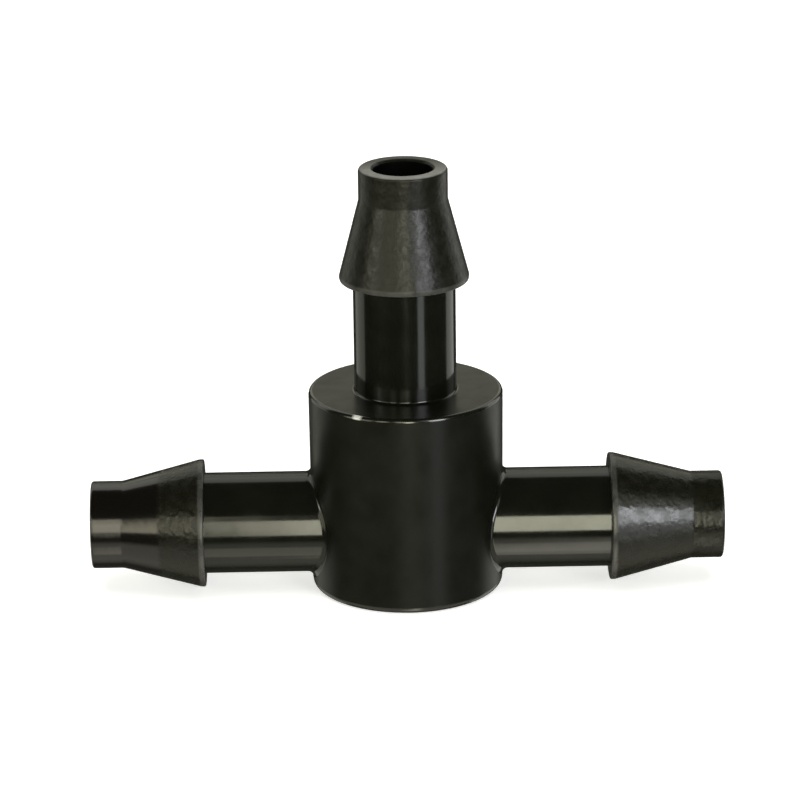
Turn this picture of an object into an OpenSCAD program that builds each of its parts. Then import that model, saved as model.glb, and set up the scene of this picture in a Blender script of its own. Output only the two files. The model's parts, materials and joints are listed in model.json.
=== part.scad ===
// Barbed tee connector for 4 mm bore micro-irrigation tube.
// One black plastic moulding: an upright hub, two run arms in line and a branch arm on top.
// Each arm is a round stem that carries one barb. Millimetres, +Z up the branch, +X along the run.
// The origin is the centre of the hub's flat base.

/* [Hub] */
// Diameter of the hub at its top face
hub_top_d = 8.6; // [8:0.1:10]
// Diameter of the hub at its base, smaller by the mould's draft
hub_base_d = 8.5; // [7.9:0.1:9.9]
// Height of the hub
hub_h = 9.1; // [8:0.1:12]
// Edge radius round the top face
hub_top_round = 0.15; // [0.05:0.05:0.3]
// Edge radius round the base
hub_base_round = 0.3; // [0.1:0.05:0.4]

/* [Arms] */
// Distance from the hub's axis to the end of each run arm
run_reach = 14.1; // [13:0.1:18]
// Distance from the hub's top face to the end of the branch arm
branch_reach = 10.15; // [8:0.05:14]
// Outside diameter of the stems
stem_d = 4.5; // [4.3:0.1:4.9]
// Diameter of the waterway
bore_d = 2.6; // [2:0.1:2.8]
// Fillet where the branch stem leaves the hub's top face
root_fillet = 0.1; // [0.1:0.05:0.4]
// Height of the barbs' crests above the plane of the base
crest_clearance = 0.05; // [0.05:0.05:0.5]

/* [Barbs] */
// Diameter of the barb's crest, which holds the tube
barb_d = 5.7; // [5.3:0.1:6.2]
// Length of the crest's narrow straight land
crest_l = 0.2; // [0.2:0.05:0.4]
// Length of the cone that spreads the tube
cone_l = 3.45; // [3:0.05:4]
// Diameter of the pilot at the tip, which slips into the tube
pilot_d = 3.9; // [3.7:0.05:3.95]
// Length of the pilot
pilot_l = 1.4; // [1:0.1:2]
// Edge radius at the end of the pilot
pilot_round = 0.12; // [0.05:0.01:0.2]
// Chamfer at the mouth of the waterway
mouth_chamfer = 0.12; // [0.05:0.01:0.2]

/* [Gate mark] */
// Radius of the shallow dish that the moulding gate leaves under the hub
dish_r = 1.1; // [0.8:0.1:1.5]
// Depth of the dish
dish_depth = 0.2; // [0.1:0.05:0.3]
// Radius of the trimmed gate stub in the dish
stub_r = 0.4; // [0.3:0.05:0.5]

/* [Hidden] */
$fn = 96;
arc_steps = 4;
eps = 0.01;

LEFT = -1;
RIGHT = 1;

bore_r = bore_d / 2;
stem_r = stem_d / 2;
barb_r = barb_d / 2;
pilot_r = pilot_d / 2;
barb_l = crest_l + cone_l + pilot_l;
// The run's axis is just high enough for the barbs to clear the plane of the base
run_z = barb_r + crest_clearance;
run_stem_end = run_reach - barb_l;
branch_stem_l = branch_reach - barb_l;
// A sphere of this radius cuts a dish of dish_r and dish_depth
dish_sphere_r = (pow(dish_r, 2) + pow(dish_depth, 2)) / (2 * dish_depth);
// The stub stays this far inside the plane of the base
stub_inset = dish_depth / 3;

black_satin = "#22231f";
black_gloss = "#1b1c19";
black_matte = "#2b2c28";

// Points of an arc about [x, y], from angle a0 to angle a1
function arc(x, y, r, a0, a1) =
    [for (i = [0:arc_steps]) let (a = a0 + (a1 - a0) * i / arc_steps) [x + r * cos(a), y + r * sin(a)]];

// The hub's outline, turned about the Z axis: flat base, drafted side, flat top, both edges rounded
module hub_solid() {
    rotate_extrude()
        polygon(concat(
            [[0, 0]],
            arc(hub_base_d / 2 - hub_base_round, hub_base_round, hub_base_round, -90, 0),
            arc(hub_top_d / 2 - hub_top_round, hub_h - hub_top_round, hub_top_round, 0, 90),
            [[0, hub_h]]
        ));
}

// The drafted side of the hub without its rounded edges, which the run stems are cut to
module hub_side() {
    hub_draft = (hub_top_d - hub_base_d) / 2 / hub_h;
    translate([0, 0, -eps])
        cylinder(h = hub_h + 2 * eps,
                 r1 = hub_base_d / 2 - hub_draft * eps,
                 r2 = hub_top_d / 2 + hub_draft * eps);
}

// The straight waterway through both run arms, and the branch waterway that opens into it
module waterways() {
    translate([-run_reach, 0, run_z])
        rotate([0, 90, 0])
            cylinder(h = 2 * run_reach, r = bore_r);
    translate([0, 0, run_z])
        cylinder(h = hub_h - run_z + eps, r = bore_r);
}

// The dish and the trimmed stub that the moulding gate leaves in the middle of the base
module gate_dish() {
    difference() {
        translate([0, 0, dish_depth - dish_sphere_r])
            sphere(r = dish_sphere_r);
        translate([0, 0, stub_inset])
            cylinder(h = dish_depth, r = stub_r);
    }
}

// Places a child that is drawn along +Z on the run's axis, pointing to one side
module on_run(side) {
    translate([0, 0, run_z])
        rotate([0, side * 90, 0])
            children();
}

// One barb, drawn along +Z from its flat rear face: crest, cone and pilot round the waterway
module barb() {
    rotate_extrude()
        polygon(concat(
            [[bore_r, 0], [barb_r, 0], [barb_r, crest_l], [pilot_r, crest_l + cone_l]],
            arc(pilot_r - pilot_round, barb_l - pilot_round, pilot_round, 0, 90),
            [[bore_r + mouth_chamfer, barb_l], [bore_r, barb_l - mouth_chamfer]]
        ));
}

// A run arm's stem, from the hub's curved side to the barb's rear face
module run_stem(side) {
    difference() {
        on_run(side)
            cylinder(h = run_stem_end, r = stem_r);
        hub_side();
        on_run(side)
            cylinder(h = run_stem_end + eps, r = bore_r);
    }
}

module hub() {
    color(black_satin)
        difference() {
            hub_solid();
            waterways();
            gate_dish();
        }
}

module left_stem() {
    color(black_gloss)
        run_stem(LEFT);
}

module left_barb() {
    color(black_matte)
        on_run(LEFT)
            translate([0, 0, run_stem_end])
                barb();
}

module right_stem() {
    color(black_gloss)
        run_stem(RIGHT);
}

module right_barb() {
    color(black_matte)
        on_run(RIGHT)
            translate([0, 0, run_stem_end])
                barb();
}

// The branch arm's stem, with a fillet at its root on the hub's top face
module branch_stem() {
    fillet_r = stem_r + root_fillet;
    color(black_gloss)
        translate([0, 0, hub_h])
            rotate_extrude()
                polygon(concat(
                    [[bore_r, 0]],
                    arc(fillet_r, root_fillet, root_fillet, -90, -180),
                    [[stem_r, branch_stem_l], [bore_r, branch_stem_l]]
                ));
}

module branch_barb() {
    color(black_matte)
        translate([0, 0, hub_h + branch_stem_l])
            barb();
}

hub();
left_stem();
left_barb();
right_stem();
right_barb();
branch_stem();
branch_barb();
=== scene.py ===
import json
import math

import bmesh
import bpy
import numpy as np
from mathutils import Matrix, Vector


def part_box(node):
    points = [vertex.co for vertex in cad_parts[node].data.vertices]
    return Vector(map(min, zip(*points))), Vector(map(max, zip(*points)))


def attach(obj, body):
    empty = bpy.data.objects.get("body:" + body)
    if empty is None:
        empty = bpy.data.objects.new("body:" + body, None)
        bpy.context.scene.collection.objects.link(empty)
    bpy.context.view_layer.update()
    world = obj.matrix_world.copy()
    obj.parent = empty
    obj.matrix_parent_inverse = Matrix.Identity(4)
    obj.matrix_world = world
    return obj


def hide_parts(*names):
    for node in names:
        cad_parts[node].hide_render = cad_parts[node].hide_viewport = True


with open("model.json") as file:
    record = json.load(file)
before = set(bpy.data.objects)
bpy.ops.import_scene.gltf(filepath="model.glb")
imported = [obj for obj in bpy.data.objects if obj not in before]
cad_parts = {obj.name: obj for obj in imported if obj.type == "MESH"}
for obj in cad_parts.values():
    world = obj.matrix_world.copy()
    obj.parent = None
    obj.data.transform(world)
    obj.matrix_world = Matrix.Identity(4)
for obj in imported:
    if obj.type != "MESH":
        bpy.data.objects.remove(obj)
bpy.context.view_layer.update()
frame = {"record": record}

# A barbed tee, moulded in one go: a hub, two run stems, a branch stem and three barbs.
# Every piece is a closed mesh that stands for the CAD node of the same name. Sizes are in metres.

MM = 0.001

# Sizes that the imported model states
MOUNTS = {mount["name"]: mount for mount in frame["record"]["mounts"]}
_, HUB_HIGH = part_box("hub")
STEM_LOW, STEM_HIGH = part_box("right_stem")
BARB_LOW, BARB_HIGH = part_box("right_barb")
BRANCH_LOW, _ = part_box("branch_barb")
HUB_H = HUB_HIGH.z
HUB_TOP_R = HUB_HIGH.x
STEM_R = (STEM_HIGH.z - STEM_LOW.z) / 2
RUN_Z = (STEM_HIGH.z + STEM_LOW.z) / 2
STEM_END = STEM_HIGH.x
BARB_R = (BARB_HIGH.z - BARB_LOW.z) / 2
BARB_L = BARB_HIGH.x - BARB_LOW.x
BRANCH_STEM_L = BRANCH_LOW.z - HUB_H
BORE_R = MOUNTS["run_waterway"]["dims"]["r_mm"] * MM
PILOT_R = MOUNTS["right_pilot"]["dims"]["r_mm"] * MM
CREST_L = MOUNTS["right_crest"]["dims"]["length_mm"] * MM

# Sizes of the moulding's details
HUB_DRAFT = 0.05 * MM
HUB_BASE_R = HUB_TOP_R - HUB_DRAFT
HUB_TOP_ROUND = 0.15 * MM
HUB_BASE_ROUND = 0.3 * MM
RUN_FILLET = 0.3 * MM
BRANCH_FILLET = 0.1 * MM
PILOT_L = 1.4 * MM
CREST_EDGE = 0.06 * MM
CREST_BLEND = 0.5 * MM
CONE_BLEND = 0.25 * MM
PILOT_ROUND = 0.12 * MM
MOUTH_CHAMFER = 0.12 * MM
MOUTH_EDGE = 0.04 * MM
DISH_R = 1.1 * MM
DISH_DEPTH = 0.2 * MM
STUB_R = 0.4 * MM
STUB_ROUND = 0.06 * MM
STUB_INSET = DISH_DEPTH / 3

# The thin raised line that the two halves of the mould leave, in the plane y = 0
PARTING_H = 0.012 * MM
PARTING_TURN = math.radians(1.0)

# A small pale spot painted on the hub's top edge as a highlight, to the left of its front
RIM_HIGHLIGHT_SPOT = (-2.15 * MM, -3.6 * MM, HUB_H - 0.05 * MM)
RIM_HIGHLIGHT_CORE = 0.12 * MM
RIM_HIGHLIGHT_REACH = 0.28 * MM

# The left barb is polished from this height to its tip, the other two are not
LEFT_GLOSS_FROM = 2.0 * MM
NO_GLOSS = 2 * BARB_L

# Mesh fineness
RING = 192
QUARTER = RING // 4
HALF = RING // 2
CORNER = RING // 8
ARC_STEP = math.radians(12)
ARC_STEPS_LEAST = 3
SEAT_STEPS = 5
PANEL_STEPS = 14
FILLET_STEPS = 10
WALL_STEPS = 4
WATERWAY_STEPS = 2
DISH_POINTS = 8
GUARD = 0.015 * MM
WELD = 0.00005 * MM
SHARP = math.radians(40)


# ---------------------------------------------------------------- outlines and rings

def ring_angles():
    """Angles of the points round a ring: even steps, with a closer pair on each side of the parting line."""
    angles = np.arange(RING) * 2 * math.pi / RING
    gap = 2 * math.pi / RING - PARTING_TURN
    for seam in (0, HALF):
        angles[seam + 1] -= gap
        angles[seam - 1] += gap
    return angles


ANGLES = ring_angles()
SIN, COS = np.sin(ANGLES), np.cos(ANGLES)
ON_PARTING = np.zeros(RING)
ON_PARTING[[0, HALF]] = PARTING_H


def arc(centre, start, end, radius):
    """Rows (r, h, normal r, normal h) of the short arc from start to end about centre."""
    a0 = math.atan2(start[1] - centre[1], start[0] - centre[0])
    a1 = math.atan2(end[1] - centre[1], end[0] - centre[0])
    turn = (a1 - a0 + math.pi) % (2 * math.pi) - math.pi
    steps = max(ARC_STEPS_LEAST, math.ceil(abs(turn) / ARC_STEP))
    outward = math.copysign(1, turn)
    rows = []
    for i in range(steps + 1):
        a = a0 + turn * i / steps
        spoke = np.array([math.cos(a), math.sin(a)])
        rows.append([*(centre + radius * spoke), *(outward * spoke)])
    return rows


def rounded(corners):
    """Rows (r, h, normal r, normal h) along an outline that keeps the material on its left.
    Each corner is (r, h, radius of its rounding). Guard rows next to the arcs keep flat stretches flat."""
    points = [np.array(corner[:2]) for corner in corners]
    rows = []
    for i, (point, corner) in enumerate(zip(points, corners)):
        before = points[i - 1] - point if i else None
        after = points[i + 1] - point if i + 1 < len(points) else None
        if before is None or after is None or corner[2] == 0:
            along = -before if after is None else after
            along = along / np.linalg.norm(along)
            rows.append([*point, along[1], -along[0]])
            continue
        length_before, length_after = np.linalg.norm(before), np.linalg.norm(after)
        before, after = before / length_before, after / length_after
        half_angle = math.acos(np.clip(before @ after, -1, 1)) / 2
        reach = corner[2] / math.tan(half_angle)
        middle = before + after
        centre = point + middle / np.linalg.norm(middle) * corner[2] / math.sin(half_angle)
        bend = arc(centre, point + before * reach, point + after * reach, corner[2])
        if length_before - reach > 2 * GUARD:
            rows.append([*(point + before * (reach + GUARD)), *bend[0][2:]])
        rows += bend
        if length_after - reach > 2 * GUARD:
            rows.append([*(point + after * (reach + GUARD)), *bend[-1][2:]])
    return np.array(rows)


def turned(rows):
    """The rings that an outline sweeps about the Z axis.
    They are raised on the parting line where they face outwards."""
    radius = rows[:, :1] + np.maximum(rows[:, 2:3], 0) * ON_PARTING
    height = np.repeat(rows[:, 1:2], RING, 1)
    return np.stack([radius * COS, radius * SIN, height], -1)


def between(first, last, steps):
    """Rings from first to last, both included."""
    share = np.linspace(0, 1, steps + 1).reshape((-1,) + (1,) * first.ndim)
    return first + (last - first) * share


# ---------------------------------------------------------------- meshes

class Shell:
    """Gathers grids of points and welds them into one closed mesh."""

    def __init__(self):
        self.points = []
        self.faces = []
        self.count = 0

    def add(self, grid, closed=True):
        """Adds a grid of rows of points. A closed grid joins each row's end to its start."""
        rows, columns = grid.shape[:2]
        index = np.arange(rows * columns).reshape(rows, columns) + self.count
        if closed:
            index = np.hstack([index, index[:, :1]])
        quads = np.stack([index[:-1, :-1], index[:-1, 1:], index[1:, 1:], index[1:, :-1]], -1)
        self.points.append(grid.reshape(-1, 3))
        self.faces.append(quads.reshape(-1, 4))
        self.count += rows * columns

    def piece(self, name, place=Matrix.Identity(4)):
        """The welded mesh as an object, with its place in its vertices."""
        mesh = bpy.data.meshes.new(name)
        mesh.from_pydata(np.vstack(self.points).tolist(), [], np.vstack(self.faces).tolist())
        work = bmesh.new()
        work.from_mesh(mesh)
        bmesh.ops.remove_doubles(work, verts=work.verts, dist=WELD)
        bmesh.ops.dissolve_degenerate(work, edges=work.edges, dist=WELD)
        bmesh.ops.transform(work, matrix=place, verts=work.verts)
        bmesh.ops.recalc_face_normals(work, faces=work.faces)
        work.to_mesh(mesh)
        work.free()
        mesh.shade_smooth()
        mesh.set_sharp_from_angle(angle=SHARP)
        made = bpy.data.objects.new(name, mesh)
        bpy.context.scene.collection.objects.link(made)
        return made


def label(piece, name, place, measure):
    """Stores a number on every vertex for the materials to read: measure gives it from the distance
    to the axis and the height along it, in millimetres, before the piece was put in its place."""
    count = len(piece.data.vertices)
    points = np.empty(count * 3)
    piece.data.vertices.foreach_get("co", points)
    points = np.hstack([points.reshape(count, 3), np.ones((count, 1))]) @ np.array(place.inverted()).T / MM
    values = measure(np.hypot(points[:, 0], points[:, 1]), points[:, 2])
    piece.data.attributes.new(name, "FLOAT", "POINT").data.foreach_set("value", values)


# ---------------------------------------------------------------- the hub's side and what opens in it

def side_radius(z):
    return HUB_BASE_R + (HUB_TOP_R - HUB_BASE_R) * z / HUB_H


def on_side(place, lift=0.0):
    """Points on the hub's side from (azimuth, z) pairs."""
    azimuth, z = place[..., 0], place[..., 1]
    radius = side_radius(z) + lift
    return np.stack([radius * np.cos(azimuth), radius * np.sin(azimuth), z], -1)


def bore_edge():
    """Where the run's waterway leaves the hub's side, as (azimuth, z) for each ring angle."""
    z = RUN_Z + BORE_R * COS
    return np.stack([np.arcsin(BORE_R * SIN / side_radius(z)), z], -1)


def root_balls():
    """Centres of the ball that rolls between the hub's side and a run stem, for each ring angle."""
    y = (STEM_R + RUN_FILLET) * SIN
    z = RUN_Z + (STEM_R + RUN_FILLET) * COS
    x = np.sqrt((side_radius(z) + RUN_FILLET) ** 2 - y ** 2)
    return np.stack([x, y, z], -1)


def root_edge():
    """Where the run stem's fillet meets the hub's side, as (azimuth, z) for each ring angle."""
    balls = root_balls()
    return np.stack([np.arctan2(balls[:, 1], balls[:, 0]), balls[:, 2]], -1)


def seat():
    """The saddle on which a run stem sits, from the waterway's edge to the fillet's edge."""
    places = between(bore_edge(), root_edge(), SEAT_STEPS)
    lift = np.zeros(places.shape[:2])
    lift[-1] = ON_PARTING
    return on_side(places, lift)


SIDE_TOP = HUB_H - HUB_TOP_ROUND - GUARD
SIDE_BOTTOM = HUB_BASE_ROUND + GUARD
LEVELS = np.concatenate([
    np.linspace(SIDE_TOP, RUN_Z, CORNER + 1),
    np.linspace(RUN_Z, SIDE_BOTTOM, CORNER + 1)[1:],
])


def panel_edge():
    """The border of the side's right-hand panel, as (azimuth, z), starting at the middle of its top."""
    top = np.stack([ANGLES[:CORNER], np.full(CORNER, SIDE_TOP)], -1)
    down = np.stack([np.full(QUARTER + 1, ANGLES[CORNER]), LEVELS], -1)
    bottom = np.stack([ANGLES[1:CORNER][::-1], np.full(CORNER - 1, SIDE_BOTTOM)], -1)
    last = np.array([[0.0, SIDE_BOTTOM]])
    right_half = np.vstack([top, down, bottom, last])
    left_half = right_half[1:-1][::-1] * (-1, 1)
    return np.vstack([right_half, left_half])


MIRROR_X = np.array([-1, 1, 1])


def waterway_walls(shell):
    """The walls of the run's waterway inside the hub, and of the branch's waterway that opens into it."""
    y, z = BORE_R * SIN, RUN_Z + BORE_R * COS
    edge = on_side(bore_edge())
    opening = np.stack([np.maximum(BORE_R * COS, 0), y, z], -1)
    for mirror in (1, MIRROR_X):
        shell.add(np.stack([edge, opening]) * mirror)
    top = np.stack([BORE_R * COS, y, np.full(RING, HUB_H)], -1)
    foot = np.stack([BORE_R * COS, y, RUN_Z + BORE_R * abs(COS)], -1)
    shell.add(between(top, foot, WATERWAY_STEPS))


def make_hub():
    shell = Shell()
    panel = on_side(between(root_edge(), panel_edge(), PANEL_STEPS), ON_PARTING)
    for mirror in (1, MIRROR_X):
        shell.add(seat() * mirror)
        shell.add(panel * mirror)
    for first in (CORNER, CORNER + HALF):
        azimuth, z = np.meshgrid(ANGLES[first:first + QUARTER + 1], LEVELS)
        shell.add(on_side(np.stack([azimuth, z], -1)), closed=False)
    shell.add(turned(rounded([
        (side_radius(SIDE_TOP), SIDE_TOP, 0),
        (HUB_TOP_R, HUB_H, HUB_TOP_ROUND),
        (STEM_R + BRANCH_FILLET, HUB_H, 0),
    ])))
    under_stem = np.array([[STEM_R + BRANCH_FILLET, HUB_H, 0, 1], [BORE_R, HUB_H, 0, 0]])
    shell.add(turned(under_stem))
    dish_ball = (DISH_R ** 2 + DISH_DEPTH ** 2) / (2 * DISH_DEPTH)
    dish_turns = np.linspace(math.asin(STUB_R / dish_ball), math.asin(DISH_R / dish_ball), DISH_POINTS)
    dish_r = dish_ball * np.sin(dish_turns)
    dish_h = DISH_DEPTH - dish_ball * (1 - np.cos(dish_turns))
    dish = [(r, h, 0) for r, h in zip(dish_r, dish_h)]
    shell.add(turned(rounded([
        (0, STUB_INSET, 0),
        (STUB_R, STUB_INSET, STUB_ROUND),
        *dish,
        (HUB_BASE_R, 0, HUB_BASE_ROUND),
        (side_radius(SIDE_BOTTOM), SIDE_BOTTOM, 0),
    ])))
    waterway_walls(shell)
    hub = shell.piece("hub_moulding")
    label(hub, "off_edge", Matrix.Identity(4), lambda r, h: np.minimum(
        np.hypot(HUB_TOP_R / MM - r, HUB_H / MM - h) - HUB_TOP_ROUND / MM,
        np.hypot(HUB_BASE_R / MM - r, h) - HUB_BASE_ROUND / MM))
    return hub


# ---------------------------------------------------------------- stems and barbs

def on_run(side):
    """Turns a piece drawn along +Z, with its parting line in its XZ plane, to lie along the run."""
    return Matrix.Translation((0, 0, RUN_Z)) @ Matrix.Rotation(side * math.pi / 2, 4, "Y")


def make_run_stem(name, side):
    """A run stem with the rolling-ball fillet at its root, closed by the saddle and the barb's rear plane."""
    balls = root_balls()
    azimuth = root_edge()[:, 0]
    to_hub = -np.stack([np.cos(azimuth), np.sin(azimuth), np.zeros(RING)], -1)
    to_stem = -np.stack([np.zeros(RING), SIN, COS], -1)
    spread = np.arccos(np.sum(to_hub * to_stem, -1))[:, None]
    radius = (RUN_FILLET - ON_PARTING)[:, None]
    fillet = []
    for share in np.linspace(0, 1, FILLET_STEPS + 1):
        hub_part = np.sin((1 - share) * spread) * to_hub
        stem_part = np.sin(share * spread) * to_stem
        spoke = (hub_part + stem_part) / np.sin(spread)
        fillet.append(balls + radius * spoke)
    fillet[0] = seat()[-1]
    tangent = fillet[-1]
    guard = tangent + (GUARD, 0, 0)
    wall = np.stack([np.full(RING, STEM_END), tangent[:, 1], tangent[:, 2]], -1)
    bore = np.stack([np.full(RING, STEM_END), BORE_R * SIN, RUN_Z + BORE_R * COS], -1)
    shell = Shell()
    mirror = np.array([side, 1, 1])
    shell.add(np.stack(fillet + [guard]) * mirror)
    shell.add(between(guard, wall, WALL_STEPS) * mirror)
    shell.add(np.stack([wall, bore]) * mirror)
    shell.add(np.stack([bore, on_side(bore_edge())]) * mirror)
    shell.add(seat() * mirror)
    return shell.piece(name)


def make_branch_stem():
    fillet_r = STEM_R + BRANCH_FILLET
    foot = np.array([fillet_r, 0.0])
    tangent = np.array([STEM_R, BRANCH_FILLET])
    bend = arc(np.array([fillet_r, BRANCH_FILLET]), foot, tangent, BRANCH_FILLET)
    guard = [STEM_R, BRANCH_FILLET + GUARD, 1, 0]
    top = [STEM_R, BRANCH_STEM_L, 1, 0]
    shell = Shell()
    shell.add(turned(np.array(bend + [guard])))
    shell.add(between(turned(np.array([guard]))[0], turned(np.array([top]))[0], WALL_STEPS))
    inside = np.array([[STEM_R, BRANCH_STEM_L, 1, 0], [BORE_R, BRANCH_STEM_L, 0, 0], [BORE_R, 0, 0, 0]])
    shell.add(turned(inside))
    shell.add(turned(np.array([[BORE_R, 0, 0, 0], [fillet_r, 0, 0, 1]])))
    return shell.piece("branch_stem_moulding", Matrix.Translation((0, 0, HUB_H)))


def make_barb(name, place, gloss_from):
    """A barb, drawn along +Z from its flat rear face. It is glossy from the height gloss_from to its tip."""
    outside = rounded([
        (STEM_R, 0, 0),
        (BARB_R, 0, CREST_EDGE),
        (BARB_R, CREST_L, CREST_BLEND),
        (PILOT_R, BARB_L - PILOT_L, CONE_BLEND),
        (PILOT_R, BARB_L, PILOT_ROUND),
        (BORE_R + MOUTH_CHAMFER, BARB_L, MOUTH_EDGE),
        (BORE_R, BARB_L - MOUTH_CHAMFER, MOUTH_EDGE),
        (BORE_R, 0, 0),
        (STEM_R, 0, 0),
    ])
    shell = Shell()
    shell.add(turned(outside))
    barb = shell.piece(name, place)
    label(barb, "from_crest", place, lambda r, h: h)
    label(barb, "into_gloss", place, lambda r, h: h - gloss_from / MM)
    label(barb, "off_axis", place, lambda r, h: r)
    return barb


def make_pieces():
    pieces = {"hub": make_hub(), "branch_stem": make_branch_stem()}
    place = Matrix.Translation((0, 0, BRANCH_LOW.z))
    pieces["branch_barb"] = make_barb("branch_barb_moulding", place, NO_GLOSS)
    for arm, side, gloss_from in (("left", -1, LEFT_GLOSS_FROM), ("right", 1, NO_GLOSS)):
        pieces[arm + "_stem"] = make_run_stem(arm + "_stem_moulding", side)
        place = on_run(side) @ Matrix.Translation((0, 0, STEM_END))
        pieces[arm + "_barb"] = make_barb(arm + "_barb_moulding", place, gloss_from)
    return pieces


# ---------------------------------------------------------------- materials

# Most values of a noise lie between these
NOISE_LOW = 0.35
NOISE_HIGH = 0.65

# Colours of the plastic: its darkest and its palest patches, scuffing mixed with a painted sheen, the
# polished tip, a painted highlight spot, and painted shade in the waterway
HUB_DARK, HUB_PALE = (0.0015, 0.0018, 0.0008), (0.0045, 0.005, 0.003)
STEM_DARK, STEM_PALE = (0.0015, 0.0018, 0.001), (0.005, 0.0054, 0.0036)
BARB_DARK, BARB_PALE = (0.002, 0.002, 0.001), (0.007, 0.007, 0.004)
SCUFF_AND_SHEEN_DARK, SCUFF_AND_SHEEN_PALE = (0.03, 0.03, 0.028), (0.30, 0.30, 0.28)
POLISHED = (0.002, 0.0016, 0.001)
RIM_HIGHLIGHT_GREY = (0.45, 0.45, 0.42)
WATERWAY_PAINTED_SHADE = (0.0005, 0.0005, 0.0005)

# Shares of the full scuffing and painted sheen, and of the full bump
CREST_WEAR_AND_SHEEN = 0.15
POLISHED_BUMP = 0.08


def node(tree, kind, **inputs):
    """A shader node with its inputs set. An input given as a socket is linked."""
    made = tree.nodes.new("ShaderNode" + kind)
    for name, value in inputs.items():
        socket = made.inputs[name.replace("_", " ")]
        if isinstance(value, bpy.types.NodeSocket):
            tree.links.new(value, socket)
        else:
            socket.default_value = value
    return made


def noise(tree, place, size, detail=2.0, roughness=0.5):
    """Noise whose blobs are about size metres across."""
    made = node(tree, "TexNoise", Vector=place, Scale=1 / size, Detail=detail, Roughness=roughness)
    return made.outputs["Fac"]


def blend_value(tree, factor, low, high, start=NOISE_LOW, stop=NOISE_HIGH):
    """A number that goes from low to high as the factor goes from start to stop."""
    made = node(tree, "MapRange", Value=factor)
    for name, value in (("From Min", start), ("From Max", stop), ("To Min", low), ("To Max", high)):
        made.inputs[name].default_value = value
    return made.outputs["Result"]


def blend_colour(tree, factor, low, high):
    """A colour that goes from low to high with the factor. Either may be a colour or a socket."""
    made = tree.nodes.new("ShaderNodeMix")
    made.data_type = "RGBA"
    tree.links.new(factor, made.inputs["Factor"])
    for name, colour in (("A", low), ("B", high)):
        if isinstance(colour, bpy.types.NodeSocket):
            tree.links.new(colour, made.inputs[name])
        else:
            made.inputs[name].default_value = (*colour, 1)
    return made.outputs["Result"]


def reckon(tree, operation, first, second):
    """The result of a sum on two numbers or sockets."""
    made = tree.nodes.new("ShaderNodeMath")
    made.operation = operation
    for socket, value in zip(made.inputs, (first, second)):
        if isinstance(value, bpy.types.NodeSocket):
            tree.links.new(value, socket)
        else:
            socket.default_value = value
    return made.outputs["Value"]


def blend(tree, factor, low, high):
    """A number that goes from low to high with the factor. Either may be a number or a socket."""
    span = reckon(tree, "SUBTRACT", high, low)
    return reckon(tree, "ADD", low, reckon(tree, "MULTIPLY", factor, span))


def bump(tree, height, depth, strength=1.0, below=None):
    """A bump of that depth in metres, on top of the bump below."""
    made = node(tree, "Bump", Height=height, Distance=depth, Strength=strength)
    if below:
        tree.links.new(below, made.inputs["Normal"])
    return made.outputs["Normal"]


def start_material(name):
    """An empty material, its tree and the place in space that its patterns hang on."""
    made = bpy.data.materials.new(name)
    made.use_nodes = True
    made.node_tree.nodes.clear()
    return made, made.node_tree, made.node_tree.nodes.new("ShaderNodeTexCoord").outputs["Object"]


def plastic(tree, colour, rough, relief, specular):
    """The plastic's shader on the material's surface."""
    shader = node(tree, "BsdfPrincipled", Base_Color=colour, Roughness=rough, Normal=relief,
                  Specular_IOR_Level=specular)
    surface = tree.nodes.new("ShaderNodeOutputMaterial")
    tree.links.new(shader.outputs["BSDF"], surface.inputs["Surface"])


def labelled(tree, name, start, stop):
    """0 where the vertex label is at start and 1 where it is at stop."""
    made = tree.nodes.new("ShaderNodeAttribute")
    made.attribute_name = name
    return blend_value(tree, made.outputs["Fac"], 0, 1, start, stop)


def distance_from(tree, place, point):
    """The distance in metres from a fixed point."""
    made = tree.nodes.new("ShaderNodeVectorMath")
    made.operation = "DISTANCE"
    tree.links.new(place, made.inputs[0])
    made.inputs[1].default_value = point
    return made.outputs["Value"]


def satin_plastic():
    """The hub: satin with a faint ripple, polished along its rounded edges, with a painted highlight spot on
    the top one.
    """
    made, tree, place = start_material("satin_plastic")
    patches = noise(tree, place, 1.2 * MM, detail=3.0, roughness=0.6)
    edge = labelled(tree, "off_edge", 0.015, 0)
    # Painted highlight: a pale spot on the top edge, left of its front
    near_rim_highlight = blend_value(tree, distance_from(tree, place, RIM_HIGHLIGHT_SPOT), 1, 0, RIM_HIGHLIGHT_CORE, RIM_HIGHLIGHT_REACH)
    rim_highlight = reckon(tree, "MULTIPLY", near_rim_highlight, edge)
    colour = blend_colour(tree, rim_highlight, blend_colour(tree, patches, HUB_DARK, HUB_PALE), RIM_HIGHLIGHT_GREY)
    rough = blend(tree, edge, blend_value(tree, patches, low=0.30, high=0.36), 0.16)
    specular = blend(tree, edge, 0.26, 0.8)
    ripple = bump(tree, noise(tree, place, 1.6 * MM), depth=0.004 * MM)
    grain = bump(tree, noise(tree, place, 0.06 * MM, detail=3.0), depth=0.0007 * MM, below=ripple)
    plastic(tree, colour, rough, grain, specular)
    return made


def gloss_plastic():
    """The stems: smooth, with a very faint ripple."""
    made, tree, place = start_material("gloss_plastic")
    patches = noise(tree, place, 1.5 * MM, detail=3.0, roughness=0.6)
    colour = blend_colour(tree, patches, STEM_DARK, STEM_PALE)
    rough = blend_value(tree, patches, low=0.11, high=0.16)
    ripple = bump(tree, noise(tree, place, 1.2 * MM), depth=0.002 * MM)
    plastic(tree, colour, rough, ripple, specular=0.5)
    return made


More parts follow.
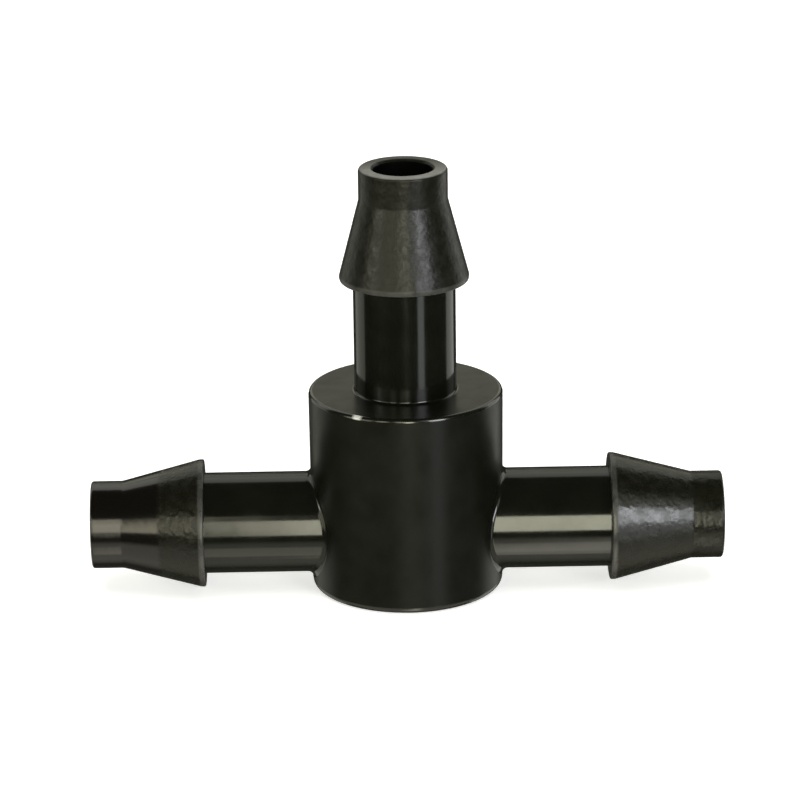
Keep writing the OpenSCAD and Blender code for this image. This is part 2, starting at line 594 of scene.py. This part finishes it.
def matte_plastic():
    """The barbs: a mottled cone with a crest made paler by slight wear and a painted highlight, a duller
    pilot, a polished tip on the left barb, a land round each mouth that is scuffed and painted paler towards
    the front as a highlight, and a dull waterway painted dark as shade."""
    made, tree, place = start_material("matte_plastic")
    patches = noise(tree, place, 0.5 * MM, detail=3.0, roughness=0.6)
    axes = node(tree, "SeparateXYZ", Vector=place).outputs

    # Heights along the barb and the waterway's radius, in millimetres like the labels
    tip = BARB_L / MM
    pilot_foot = (BARB_L - PILOT_L) / MM
    bore_wall = BORE_R / MM

    # How far each place belongs to a part of the barb, from 0 to 1
    polish = labelled(tree, "into_gloss", -0.1, 0.1)
    crest = labelled(tree, "from_crest", 0.27, 0.2)
    land = labelled(tree, "from_crest", tip - 0.05, tip - 0.01)
    bore = labelled(tree, "off_axis", bore_wall + 0.03, bore_wall + 0.01)
    pilot = labelled(tree, "from_crest", pilot_foot - 0.1, pilot_foot + 0.1)
    front = blend_value(tree, axes["Y"], 1, 0.08, start=-0.8 * MM, stop=1.0 * MM)
    branch_barb = blend_value(tree, axes["Z"], 0, 1, start=BARB_R * 2.5, stop=HUB_H)

    matte = blend_colour(tree, patches, BARB_DARK, BARB_PALE)
    dark = blend_colour(tree, polish, matte, POLISHED)
    grey = blend_colour(tree, patches, SCUFF_AND_SHEEN_DARK, SCUFF_AND_SHEEN_PALE)
    # Scuffing mixed with a painted highlight: the mouth land grows paler towards the front, and the crest a
    # little paler
    scuffed_and_lit_land = reckon(tree, "MULTIPLY", land, front)
    worn_and_lit_crest = reckon(tree, "MULTIPLY", crest, CREST_WEAR_AND_SHEEN)
    scuff_and_sheen = reckon(tree, "MAXIMUM", scuffed_and_lit_land, worn_and_lit_crest)
    # Painted shade: the waterway's wall is painted near black
    colour = blend_colour(tree, bore, blend_colour(tree, scuff_and_sheen, dark, grey), WATERWAY_PAINTED_SHADE)

    mottle = blend_value(tree, patches, low=0.20, high=0.34)
    rough = reckon(tree, "ADD", mottle, reckon(tree, "MULTIPLY", branch_barb, 0.09))
    rough = blend(tree, polish, rough, 0.15)
    rough = blend(tree, bore, rough, 0.6)

    matte_only = blend(tree, reckon(tree, "MAXIMUM", polish, crest), 1.0, POLISHED_BUMP)
    coarse = noise(tree, place, 0.4 * MM, detail=0.0)
    fine = noise(tree, place, 0.17 * MM, detail=0.0)
    relief = bump(tree, coarse, depth=0.016 * MM, strength=matte_only)
    relief = bump(tree, fine, depth=0.010 * MM, strength=matte_only, below=relief)

    specular = blend(tree, pilot, blend(tree, branch_barb, 0.5, 0.34), 0.28)
    specular = blend(tree, polish, specular, 0.8)
    specular = blend(tree, bore, specular, 0.05)
    plastic(tree, colour, rough, relief, specular)
    return made


def make_materials():
    return {"hub": satin_plastic(), "stem": gloss_plastic(), "barb": matte_plastic()}


def finish_pieces(pieces):
    """Gives each piece its material and slot, and lets it stand for its CAD node."""
    materials = make_materials()
    for name, piece in pieces.items():
        piece.data.materials.append(materials[name.split("_")[-1]])
        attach(piece, "root")
        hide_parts(name)


# ---------------------------------------------------------------- stage, lights and camera

FLOOR_SIZE = 4.0
LIGHT_DISTANCE = 0.5
CAMERA_ELEVATION = math.radians(19.0)
CAMERA_AZIMUTH = math.radians(-0.75)
CAMERA_ROLL = math.radians(-0.76)
CAMERA_DISTANCE = 177.8 * MM
CAMERA_LENS = 180.4
CAMERA_SENSOR = 36
LOOK_AT = Vector((-0.25, 0, 8.55)) * MM


def direction(azimuth, elevation):
    """Unit vector towards an azimuth, where 0 is the front (-Y) and 90 is the right (+X), in degrees."""
    a, e = math.radians(azimuth), math.radians(elevation)
    return Vector((math.sin(a) * math.cos(e), -math.cos(a) * math.cos(e), math.sin(e)))


def make_floor():
    half = FLOOR_SIZE / 2
    mesh = bpy.data.meshes.new("floor")
    corners = [(-half, -half, 0), (half, -half, 0), (half, half, 0), (-half, half, 0)]
    mesh.from_pydata(corners, [], [(0, 1, 2, 3)])
    floor = bpy.data.objects.new("floor", mesh)
    bpy.context.scene.collection.objects.link(floor)
    pale = bpy.data.materials.new("pale_floor")
    pale.use_nodes = True
    shader = pale.node_tree.nodes["Principled BSDF"]
    shader.inputs["Base Color"].default_value = (0.9, 0.9, 0.9, 1)
    shader.inputs["Roughness"].default_value = 0.6
    shader.inputs["Specular IOR Level"].default_value = 0.2
    shader.inputs["Emission Color"].default_value = (1, 1, 1, 1)
    shader.inputs["Emission Strength"].default_value = 0.6
    mesh.materials.append(pale)
    floor.visible_glossy = False
    floor.visible_shadow = False


def make_light(name, azimuth, elevation, wide, tall, radiance, colour=(1, 1, 1)):
    """A rectangular soft light that faces the tee. It is as bright as radiance all over,
    and wide and tall are its size in degrees as the tee sees it."""
    width = 2 * LIGHT_DISTANCE * math.tan(math.radians(wide) / 2)
    height = 2 * LIGHT_DISTANCE * math.tan(math.radians(tall) / 2)
    data = bpy.data.lights.new(name, "AREA")
    data.shape = "RECTANGLE"
    data.size = width
    data.size_y = height
    data.energy = radiance * math.pi * width * height
    data.color = colour
    light = bpy.data.objects.new(name, data)
    bpy.context.scene.collection.objects.link(light)
    aim = direction(azimuth, elevation)
    light.location = Vector((0, 0, RUN_Z)) + aim * LIGHT_DISTANCE
    light.rotation_mode = "QUATERNION"
    light.rotation_quaternion = aim.to_track_quat("Z", "Y")
    light.visible_camera = False
    return light


def make_lights():
    overhead = make_light("overhead_soft", 0, 88, 60, 60, radiance=2.0)
    overhead.visible_glossy = False
    make_light("front_strip", 2.5, 5, 9, 34, radiance=8.5, colour=(1.0, 0.99, 0.76))
    make_light("front_left_strip", -8, 16, 8, 34, radiance=3.0, colour=(1.0, 0.95, 0.74))
    make_light("table_strip", 4, -54, 16, 24, radiance=0.8, colour=(1.0, 0.96, 0.78))
    make_light("table_right_strip", 11, -52, 9, 46, radiance=1.3, colour=(1.0, 0.96, 0.82))
    make_light("right_key", 36, 15, 18, 26, radiance=10.0, colour=(0.95, 0.97, 1.0))
    make_light("right_low", 36, -14, 14, 24, radiance=1.7, colour=(0.95, 1.0, 0.97))
    make_light("right_upper", 34, 40, 26, 20, radiance=1.0, colour=(1.0, 1.0, 0.85))
    make_light("left_front", -29, 13, 12, 30, radiance=3.0, colour=(1.0, 0.94, 0.70))
    make_light("left_fill", -58, 8, 34, 38, radiance=1.5, colour=(1.0, 1.0, 0.75))
    make_light("left_spot", -62, 17, 8, 8, radiance=9.0)
    make_light("right_rim", 125, -12, 34, 80, radiance=0.95, colour=(1.0, 1.0, 0.94))
    make_light("left_rim", -125, -12, 40, 80, radiance=0.6, colour=(1.0, 1.0, 0.88))
    make_light("back_low", 180, 21, 50, 18, radiance=0.7, colour=(1.0, 1.0, 0.80))
    make_light("back_high", 180, 44, 110, 24, radiance=0.8, colour=(1.0, 1.0, 0.9))


def make_world():
    """Dim all round, and pale below in front, where a studio's table would show in the plastic."""
    world = bpy.data.worlds.new("studio")
    world.use_nodes = True
    tree = world.node_tree
    view = tree.nodes.new("ShaderNodeTexCoord").outputs["Generated"]
    parts = node(tree, "SeparateXYZ", Vector=view).outputs
    table = blend_value(tree, parts["Y"], low=0.6, high=0.06, start=-0.1, stop=0.3)
    above_table = blend_value(tree, parts["Z"], low=0, high=1, start=-0.55, stop=-0.42)
    level = blend(tree, above_table, table, 0.04)
    background = tree.nodes["Background"]
    background.inputs["Color"].default_value = (1, 0.98, 0.82, 1)
    tree.links.new(level, background.inputs["Strength"])
    bpy.context.scene.world = world


def make_camera():
    """A long lens from the front, a little above the tee."""
    data = bpy.data.cameras.new("camera")
    data.lens = CAMERA_LENS
    data.sensor_width = CAMERA_SENSOR
    data.clip_start = 0.01
    data.clip_end = 10
    camera = bpy.data.objects.new("camera", data)
    bpy.context.scene.collection.objects.link(camera)
    back = direction(math.degrees(CAMERA_AZIMUTH), math.degrees(CAMERA_ELEVATION))
    camera.location = LOOK_AT + back * CAMERA_DISTANCE
    camera.rotation_mode = "QUATERNION"
    level = (-back).to_track_quat("-Z", "Y")
    camera.rotation_quaternion = level @ Matrix.Rotation(CAMERA_ROLL, 3, "Z").to_quaternion()
    bpy.context.scene.camera = camera


make_camera()
finish_pieces(make_pieces())
make_floor()
make_lights()
make_world()
bpy.context.scene.view_settings.view_transform = "Standard"
